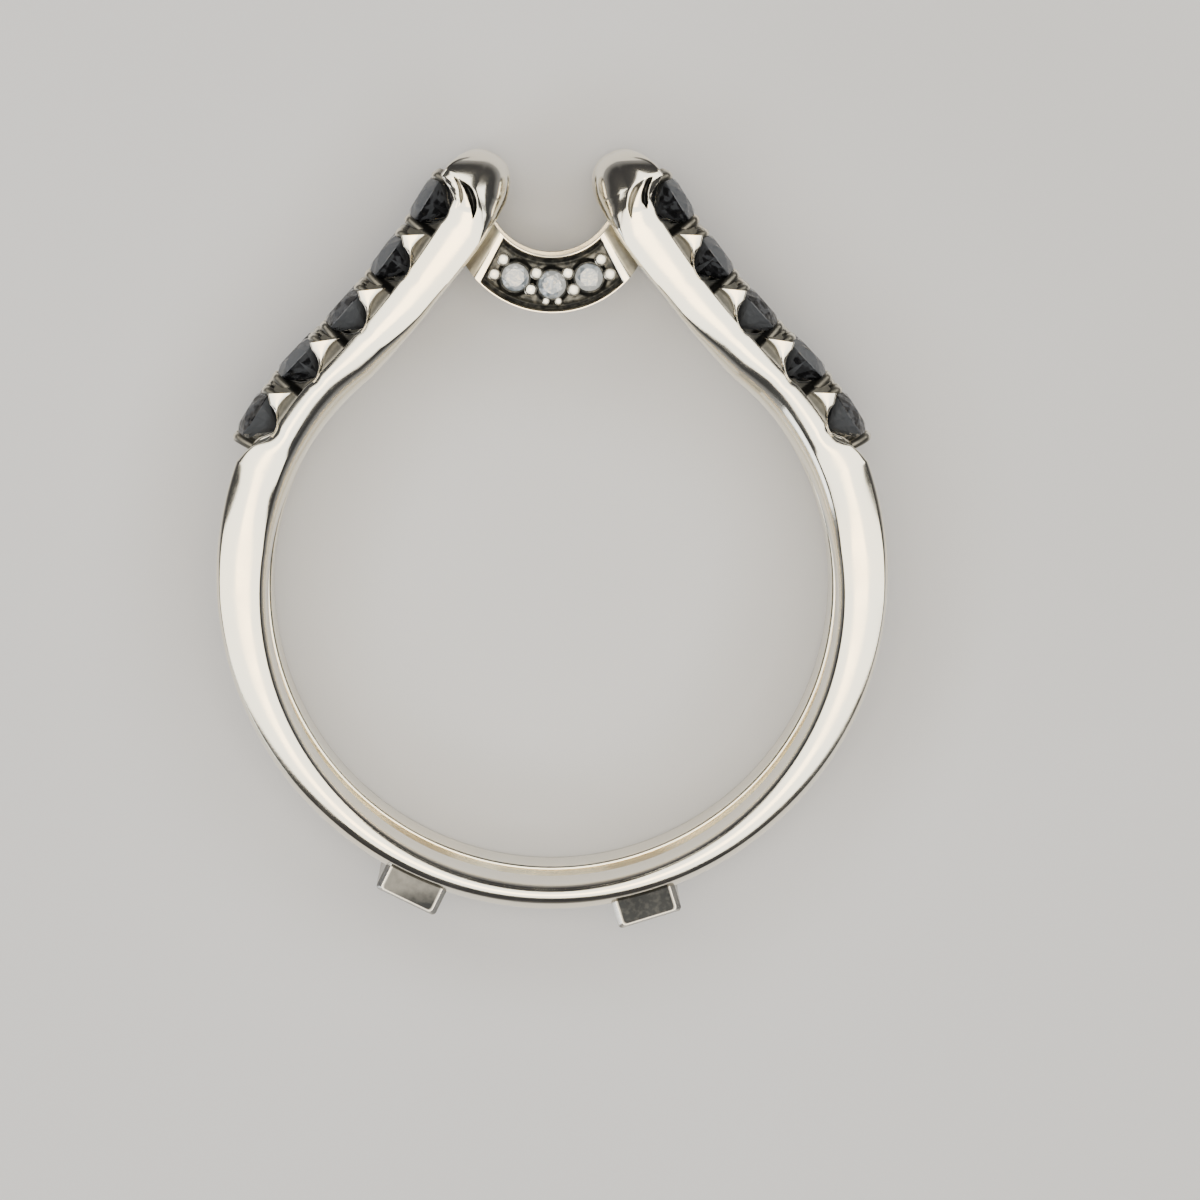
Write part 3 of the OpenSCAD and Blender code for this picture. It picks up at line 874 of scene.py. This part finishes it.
def white_gold(name, colour, rough, scratch=0.04, patches=(0.93, 1.12)):
    """Polished white gold: a slight warm cloud of colour, uneven gloss, hairline scratches, a soft ripple.

    Painted shade darkens the colour by its attribute times a noise within patches, and dulls it by three
    tenths of the attribute.
    """
    material, tree, shader, where = new_material(name)
    cloud = noise(tree, where, scale=260.0, detail=3.0)
    tint = ramp(tree, cloud, [(0.3, times(colour, COOLER)), (0.7, times(colour, WARMER))])
    drawn_out = {"Vector": where, "Scale": (1.0, 6.0, 1.4), "Rotation": (0.2, 0.1, 0.6)}
    lines = noise(tree, add(tree, "Mapping", drawn_out).outputs["Vector"], scale=2600.0, detail=4.0)
    uneven = noise(tree, where, scale=900.0, detail=5.0)
    gloss = rescaled(tree, uneven, old=(0.3, 0.7), new=(rough * 0.7, rough * 1.5))
    waves = noise(tree, where, scale=420.0, detail=1.0)
    ripple = bump(tree, waves, strength=0.12, distance=0.00006)
    hair = bump(tree, lines, strength=scratch, distance=0.00002, under=ripple)
    # Painted shade: the attribute darkens the colour toward its dark copy and raises the roughness
    painted_shade = add(tree, "Attribute", attribute_name="painted_shade").outputs["Fac"]
    fine = noise(tree, where, scale=5200.0, detail=2.0)
    share = rescaled(tree, fine, old=(0.35, 0.65), new=patches)
    shade_share = add(tree, "Math", {0: painted_shade, 1: share}, operation="MULTIPLY", use_clamp=True)
    shaded = mixed(tree, shade_share.outputs["Value"], tint, times(colour, PAINTED_SHADE_TONE))
    dull = add(tree, "Math", {0: painted_shade, 1: 0.3, 2: gloss}, operation="MULTIPLY_ADD")
    tree.links.new(shaded, shader.inputs["Base Color"])
    tree.links.new(dull.outputs["Value"], shader.inputs["Roughness"])
    tree.links.new(hair, shader.inputs["Normal"])
    shader.inputs["Metallic"].default_value = 1.0
    return material


def gem(name, colour, bright, see_through, ior, broken, shine):
    """Cut stone: half clear and bending, with painted highlights on some facets, clouds and a surface that
    glints in patches.

    see_through is the share of light it lets in, broken the strength of its glints and shine its gloss.
    """
    material, tree, shader, where = new_material(name)
    cloud = noise(tree, where, scale=3400.0, detail=1.0)
    deep = tuple(c * 0.5 for c in colour)
    half_lit = tuple((c + b) / 2 for c, b in zip(colour, bright))
    flash = add(tree, "Attribute", attribute_name="flash").outputs["Fac"]
    # Painted highlight: facets with a high flash take the bright colour
    lit = ramp(tree, flash, [(0.55, (0, 0, 0)), (0.8, (1, 1, 1))])
    body = ramp(tree, cloud, [(0.42, deep), (0.5, colour), (0.56, half_lit)])
    tree.links.new(mixed(tree, lit, body, bright), shader.inputs["Base Color"])
    gloss = rescaled(tree, noise(tree, where, scale=3000.0, detail=2.0), old=(0.0, 1.0), new=(0.0, 0.05))
    tree.links.new(gloss, shader.inputs["Roughness"])
    fine = noise(tree, where, scale=5200.0, detail=1.0)
    glint = bump(tree, fine, strength=broken, distance=0.0001)
    tree.links.new(glint, shader.inputs["Normal"])
    shader.inputs["Transmission Weight"].default_value = see_through
    shader.inputs["Specular IOR Level"].default_value = shine
    shader.inputs["IOR"].default_value = ior
    return material


def floor_finish(name, colour):
    """Matt pale table top with a faint cloud."""
    material, tree, shader, where = new_material(name)
    dim = tuple(c * 0.97 for c in colour)
    cloud = noise(tree, where, scale=40.0, detail=4.0)
    tint = ramp(tree, cloud, [(0.3, dim), (0.7, colour)])
    tree.links.new(tint, shader.inputs["Base Color"])
    shader.inputs["Roughness"].default_value = 0.85
    return material


# Settings


def length(name, description, default):
    """A length setting in metres."""
    return bpy.props.FloatProperty(
        name=name, description=description, default=default, unit="LENGTH", precision=5)


def paint(name, description, default):
    """A colour setting."""
    return bpy.props.FloatVectorProperty(
        name=name, description=description, default=default, subtype="COLOR", size=3, min=0.0, max=1.0)


class GuardFinish(bpy.types.PropertyGroup):
    """Colours of the guard and of the stage."""

    gold: paint("White gold", "Colour of the polished metal", (0.92, 0.87, 0.75))
    solder: paint("Solder", "Colour of the bridges under the finger", (0.80, 0.78, 0.73))
    shoulder_gem: paint("Shoulder stones", "Colour of the stones on the shoulders", (0.024, 0.025, 0.030))
    # Colour of painted highlights on some facets of the shoulder stones
    shoulder_flash: paint("Shoulder stones' flashes", "Colour of their brighter facets", (0.11, 0.12, 0.14))
    gallery_gem: paint("Gallery stones", "Colour of the small stones on the gallery bars", (0.74, 0.86, 1.0))
    # Colour of painted highlights on some facets of the gallery stones
    gallery_flash: paint("Gallery stones' flashes", "Colour of their brighter facets", (0.93, 0.97, 1.0))
    floor: paint("Floor", "Colour of the pale floor", (0.85, 0.86, 0.905))


class GuardSizes(bpy.types.PropertyGroup):
    """Sizes of the stage."""

    light_width: length("Light width", "Side of the soft light above", 0.62)
    light_height: length("Light height", "Height of the soft light above the floor", 0.5)
    floor_width: length("Floor width", "Side of the floor", 1.6)


# Operators


class GUARD_OT_bands(bpy.types.Operator):
    """Adds the near and the far band."""

    bl_idname = "guard.bands"
    bl_label = "Bands"

    def execute(self, context):
        gold = white_gold("band_white_gold", context.scene.guard_finish.gold, 0.13)
        for band in BANDS:
            put(f"band_{band}", [band_grid(band)], gold, sharp=28)
        return {"FINISHED"}


class GUARD_OT_prongs(bpy.types.Operator):
    """Adds the fishtail prongs of the four shoulders."""

    bl_idname = "guard.prongs"
    bl_label = "Prongs"

    def execute(self, context):
        gold = white_gold("prong_white_gold", context.scene.guard_finish.gold, 0.16, patches=(0.97, 1.02))
        grids = shoulder_prongs()
        for band in BANDS:
            for side in SIDES:
                put(f"prongs_{band}_{side}", [mirrored(g, side, band) for g in grids], gold)
        return {"FINISHED"}


class GUARD_OT_gallery(bpy.types.Operator):
    """Adds the gallery bar of each band with its grains."""

    bl_idname = "guard.gallery"
    bl_label = "Gallery bars"

    def execute(self, context):
        colour = context.scene.guard_finish.gold
        gold = white_gold("gallery_white_gold", colour, 0.2)
        satin = white_gold("grain_white_gold", colour, 0.24)
        for band in BANDS:
            put(f"gallery_bar_{band}", [gallery_grid(band)], gold)
            put(f"gallery_grains_{band}", gallery_grains(band), satin, sharp=60)
        return {"FINISHED"}


class GUARD_OT_bridges(bpy.types.Operator):
    """Adds the two bridges that join the bands under the finger."""

    bl_idname = "guard.bridges"
    bl_label = "Bridges"

    def execute(self, context):
        solder = context.scene.guard_finish.solder
        gold = white_gold("bridge_white_gold", solder, 0.22, scratch=0.1, patches=(0.97, 1.02))
        for side in BRIDGE_ANGLES:
            put(f"bridge_{side}", [bridge_grid(side)], gold)
        return {"FINISHED"}


class GUARD_OT_shoulder_stones(bpy.types.Operator):
    """Adds the five cut stones of each shoulder."""

    bl_idname = "guard.shoulder_stones"
    bl_label = "Shoulder stones"

    def execute(self, context):
        colours = context.scene.guard_finish
        finish = gem("shoulder_gem", colours.shoulder_gem, colours.shoulder_flash,
                     see_through=0.15, ior=1.6, broken=0.35, shine=0.2)
        for band in BANDS:
            for side in SIDES:
                for i in range(1, ROW_COUNT + 1):
                    s = (i - 1) * PITCH
                    up = np.append(direction(row_angle(s)), 0)
                    origin = np.append(row_point(s), BAND_MID) + GIRDLE_H * up
                    set_stone(f"shoulder_stone_{band}_{side}_{i}", STONE_D, origin, up, AXIS,
                              side, band, finish)
        return {"FINISHED"}


class GUARD_OT_gallery_stones(bpy.types.Operator):
    """Adds the three small cut stones of each gallery bar."""

    bl_idname = "guard.gallery_stones"
    bl_label = "Gallery stones"

    def execute(self, context):
        colours = context.scene.guard_finish
        finish = gem("gallery_gem", colours.gallery_gem, colours.gallery_flash,
                     see_through=0.35, ior=2.4, broken=0.6, shine=0.5)
        for band in BANDS:
            for place, k in GALLERY_STEPS.items():
                out = direction(-pi / 2 + k * SMALL_STEP)
                origin = np.append(NOTCH_C + SMALL_ROW_R * out, GALLERY_FACE)
                set_stone(f"gallery_stone_{band}_{place}", SMALL_D, origin, AXIS, np.append(out, 0),
                          "right", band, finish)
        return {"FINISHED"}


# Where the camera stands, the point it looks at and its angle of view
CAMERA_AT = Vector((-0.80, 15.13, 175.4)) * MM
CAMERA_TO = Vector((1.44, 0.03, 3.4)) * MM
CAMERA_ANGLE = radians(12.0)


class GUARD_OT_stage(bpy.types.Operator):
    """Adds the pale floor, the soft lights and the camera."""

    bl_idname = "guard.stage"
    bl_label = "Stage"

    def execute(self, context):
        scene, sizes = context.scene, context.scene.guard_sizes
        half = sizes.floor_width / 2
        mesh = bpy.data.meshes.new("floor")
        corners = np.array([[-1, -1], [1, -1], [1, 1], [-1, 1]]) * half
        mesh.from_pydata(np.column_stack([corners, np.full(4, FLOOR_Z * MM)]).tolist(), [], [[0, 1, 2, 3]])
        floor = bpy.data.objects.new("floor", mesh)
        mesh.materials.append(floor_finish("pale_floor", context.scene.guard_finish.floor))
        scene.collection.objects.link(floor)

        above = (0.01, 0.03, sizes.light_height)
        self.soft_light(scene, "light_above", above, sizes.light_width, 4.0, (1.0, 0.97, 0.88))
        self.soft_light(scene, "light_warm", (0.0, 0.02, 0.42), 0.13, 0.24, (1.0, 0.70, 0.30))
        self.soft_light(scene, "light_side", (-0.45, -0.25, 0.16), 0.22, 0.5, (0.93, 0.96, 1.0))
        scene.world = self.studio()

        data = bpy.data.cameras.new("camera")
        data.sensor_width = 36
        data.angle = CAMERA_ANGLE
        data.clip_start, data.clip_end = 0.01, 10
        camera = bpy.data.objects.new("camera", data)
        scene.collection.objects.link(camera)
        ahead = (CAMERA_TO - CAMERA_AT).normalized()
        right = ahead.cross(Vector((0, 1, 0))).normalized()
        turned = Matrix((right, right.cross(ahead), -ahead)).transposed().to_4x4()
        camera.matrix_world = Matrix.Translation(CAMERA_AT) @ turned
        scene.camera = camera
        return {"FINISHED"}

    @staticmethod
    def studio():
        """Surroundings by their height: grey at the horizon and below it, and dark higher up."""
        world = bpy.data.worlds.new("studio")
        world.use_nodes = True
        tree = world.node_tree
        where = add(tree, "TexCoord").outputs["Generated"]
        height = add(tree, "SeparateXYZ", {"Vector": where}).outputs["Z"]
        shade = ramp(tree, height, [(0.0, (0.34, 0.34, 0.35)), (0.16, (0.26, 0.26, 0.27)),
                                    (0.4, (0.05, 0.05, 0.055)), (0.8, (0.06, 0.06, 0.065))])
        tree.links.new(shade, tree.nodes["Background"].inputs["Color"])
        return world

    @staticmethod
    def soft_light(scene, name, place, width, power, colour):
        """Square light of a width in metres and a power in watts, facing the middle of the ring."""
        data = bpy.data.lights.new(name, "AREA")
        data.size, data.energy, data.color = width, power, colour
        lamp = bpy.data.objects.new(name, data)
        lamp.location = place
        lamp.rotation_euler = (-Vector(place)).to_track_quat("-Z", "Y").to_euler()
        scene.collection.objects.link(lamp)


class GUARD_PT_pieces(bpy.types.Panel):
    """Lists the guard's pieces and settings in the 3D view's sidebar."""

    bl_label = "Ring Guard"
    bl_idname = "GUARD_PT_pieces"
    bl_space_type = "VIEW_3D"
    bl_region_type = "UI"
    bl_category = "Ring Guard"

    def draw(self, context):
        for operator in OPERATORS:
            self.layout.operator(operator.bl_idname)
        for group in (context.scene.guard_finish, context.scene.guard_sizes):
            for name in group.__annotations__:
                self.layout.prop(group, name)


OPERATORS = (GUARD_OT_bands, GUARD_OT_prongs, GUARD_OT_gallery, GUARD_OT_bridges, GUARD_OT_shoulder_stones,
             GUARD_OT_gallery_stones, GUARD_OT_stage)
CLASSES = (GuardFinish, GuardSizes, *OPERATORS, GUARD_PT_pieces)


def register():
    """Registers the classes and gives the scene its settings."""
    for cls in CLASSES:
        bpy.utils.register_class(cls)
    bpy.types.Scene.guard_finish = bpy.props.PointerProperty(type=GuardFinish)
    bpy.types.Scene.guard_sizes = bpy.props.PointerProperty(type=GuardSizes)


def unregister():
    """Takes the settings and the classes away again."""
    del bpy.types.Scene.guard_sizes
    del bpy.types.Scene.guard_finish
    for cls in reversed(CLASSES):
        bpy.utils.unregister_class(cls)


def main():
    register()
    bpy.ops.guard.bands()
    bpy.ops.guard.prongs()
    bpy.ops.guard.gallery()
    bpy.ops.guard.bridges()
    bpy.ops.guard.shoulder_stones()
    bpy.ops.guard.gallery_stones()
    bpy.ops.guard.stage()
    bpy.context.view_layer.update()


if __name__ == "__main__":
    main()
